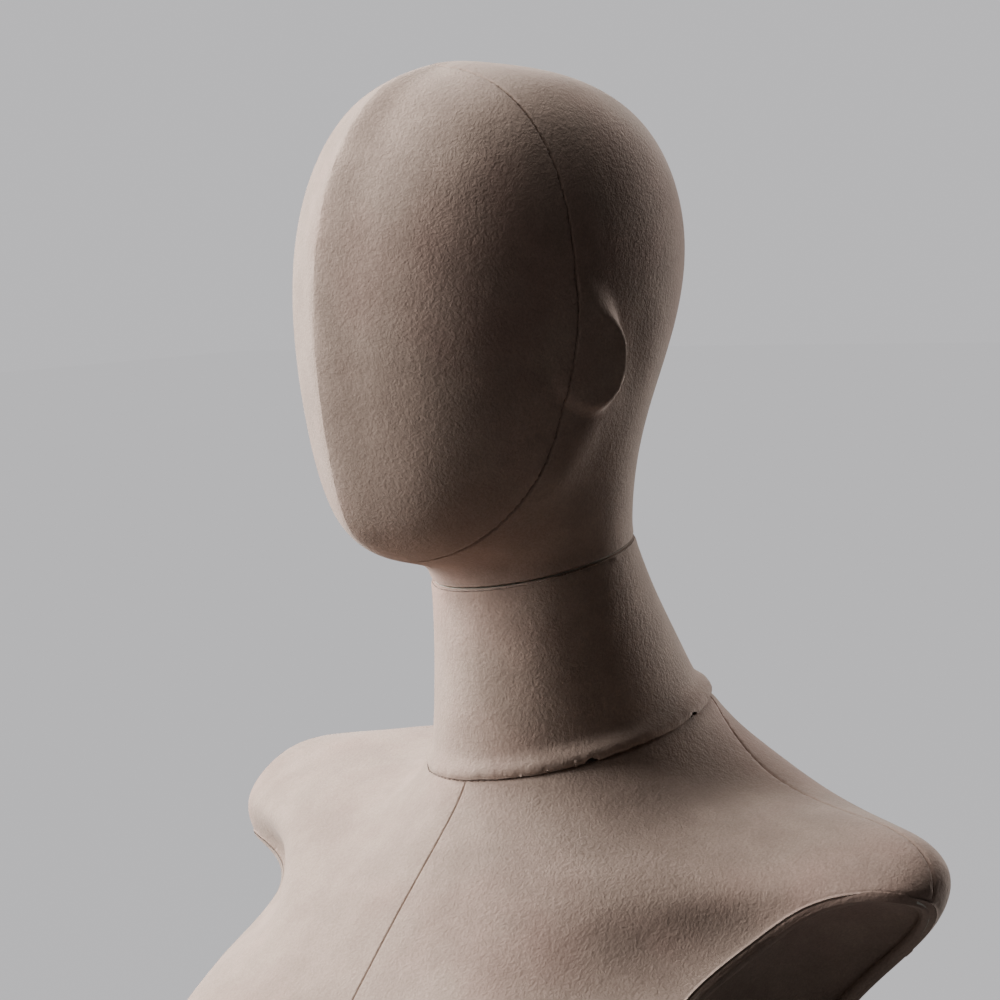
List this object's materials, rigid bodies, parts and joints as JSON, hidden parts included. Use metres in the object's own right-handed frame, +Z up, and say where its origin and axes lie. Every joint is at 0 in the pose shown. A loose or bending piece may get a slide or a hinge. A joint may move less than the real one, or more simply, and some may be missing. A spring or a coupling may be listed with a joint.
{
  "type": "full body mannequin",
  "caption": "Fabric-covered full body display mannequin with a blank egg-shaped head, open arm hollows and no arms, standing on a round base with a calf rod.",
  "frame": {"origin": "on the floor, under the middle of the round base", "axes": "+Z up to the crown, -Y the way the chest faces, +X to the mannequin's left"},
  "size_m": [0.4039, 0.404, 1.8047],
  "materials": {
    "suede_cover": "taupe brushed suede fabric, short dull nap, stretched and glued over the shells",
    "glass_fibre": "laid-up glass-fibre shell, unpainted inside",
    "plywood": "12 mm plywood, sanded",
    "felt": "black anti-slip felt",
    "base_steel": "satin brushed steel disc",
    "rod_steel": "polished round rod and collar",
    "fitting_steel": "plain steel fitting",
    "zinc_steel": "zinc plated screw",
    "magnet": "nickel plated ring magnet"
  },
  "bodies": {
    "base": {"base_felt": "felt", "base_plate": "base_steel", "rod_flange": "rod_steel", "rod_flange_screws": "zinc_steel", "support_rod": "rod_steel"},
    "lower_body": {"hip_and_left_leg_core": "glass_fibre", "hip_cover_front": "suede_cover", "hip_cover_back": "suede_cover", "left_leg_cover_front": "suede_cover", "left_leg_cover_back": "suede_cover", "calf_socket_tube": "fitting_steel", "calf_socket_cap": "fitting_steel", "calf_block": "plywood", "hip_keyhole_plate": "fitting_steel", "hip_board": "plywood", "waist_socket": "fitting_steel", "waist_socket_screws": "zinc_steel", "waist_board_lower": "plywood"},
    "right_leg": {"right_leg_core": "glass_fibre", "right_leg_cover_front": "suede_cover", "right_leg_cover_back": "suede_cover", "hip_hook_stud": "fitting_steel", "right_thigh_board": "plywood"},
    "torso": {"torso_core": "glass_fibre", "torso_cover_front_left": "suede_cover", "torso_cover_front_right": "suede_cover", "torso_cover_back_left": "suede_cover", "torso_cover_back_right": "suede_cover", "arm_hollow_cover_left": "suede_cover", "arm_hollow_cover_right": "suede_cover", "arm_hollow_board_left": "plywood", "arm_hollow_board_right": "plywood", "waist_board_upper": "plywood", "waist_peg": "fitting_steel", "waist_peg_screws": "zinc_steel", "neck_core": "glass_fibre", "neck_cover": "suede_cover", "neck_bolts": "zinc_steel", "neck_foot_board": "plywood", "shoulder_board": "plywood", "neck_strike_plate": "fitting_steel", "neck_top_board": "plywood"},
    "head_pin": {"head_locating_pin": "fitting_steel"},
    "head": {"head_core": "glass_fibre", "face_cover_left": "suede_cover", "face_cover_right": "suede_cover", "head_cover_back": "suede_cover", "head_board": "plywood", "head_magnet": "magnet", "head_magnet_screws": "zinc_steel"}
  },
  "joints": [
    {"name": "body_lift", "type": "slide", "parent": "base", "child": "lower_body", "axis": [-0.0047, -0.1275, 0.9918], "range_m": [0, 0.12]},
    {"name": "leg_unhook", "type": "slide", "parent": "lower_body", "child": "right_leg", "axis": [-0.8762, 0, 0.4819], "range_m": [0, 0.05]},
    {"name": "torso_lift", "type": "slide", "parent": "lower_body", "child": "torso", "axis": [0, 0, 1], "range_m": [0, 0.07]},
    {"name": "head_lift", "type": "slide", "parent": "torso", "child": "head_pin", "axis": [-0.0567, -0.1998, 0.9782], "range_m": [0, 0.05]},
    {"name": "head_turn", "type": "hinge", "parent": "head_pin", "child": "head", "pos_m": [0, 0.003, 1.575], "axis": [-0.0567, -0.1998, 0.9782], "continuous": true}
  ]
}
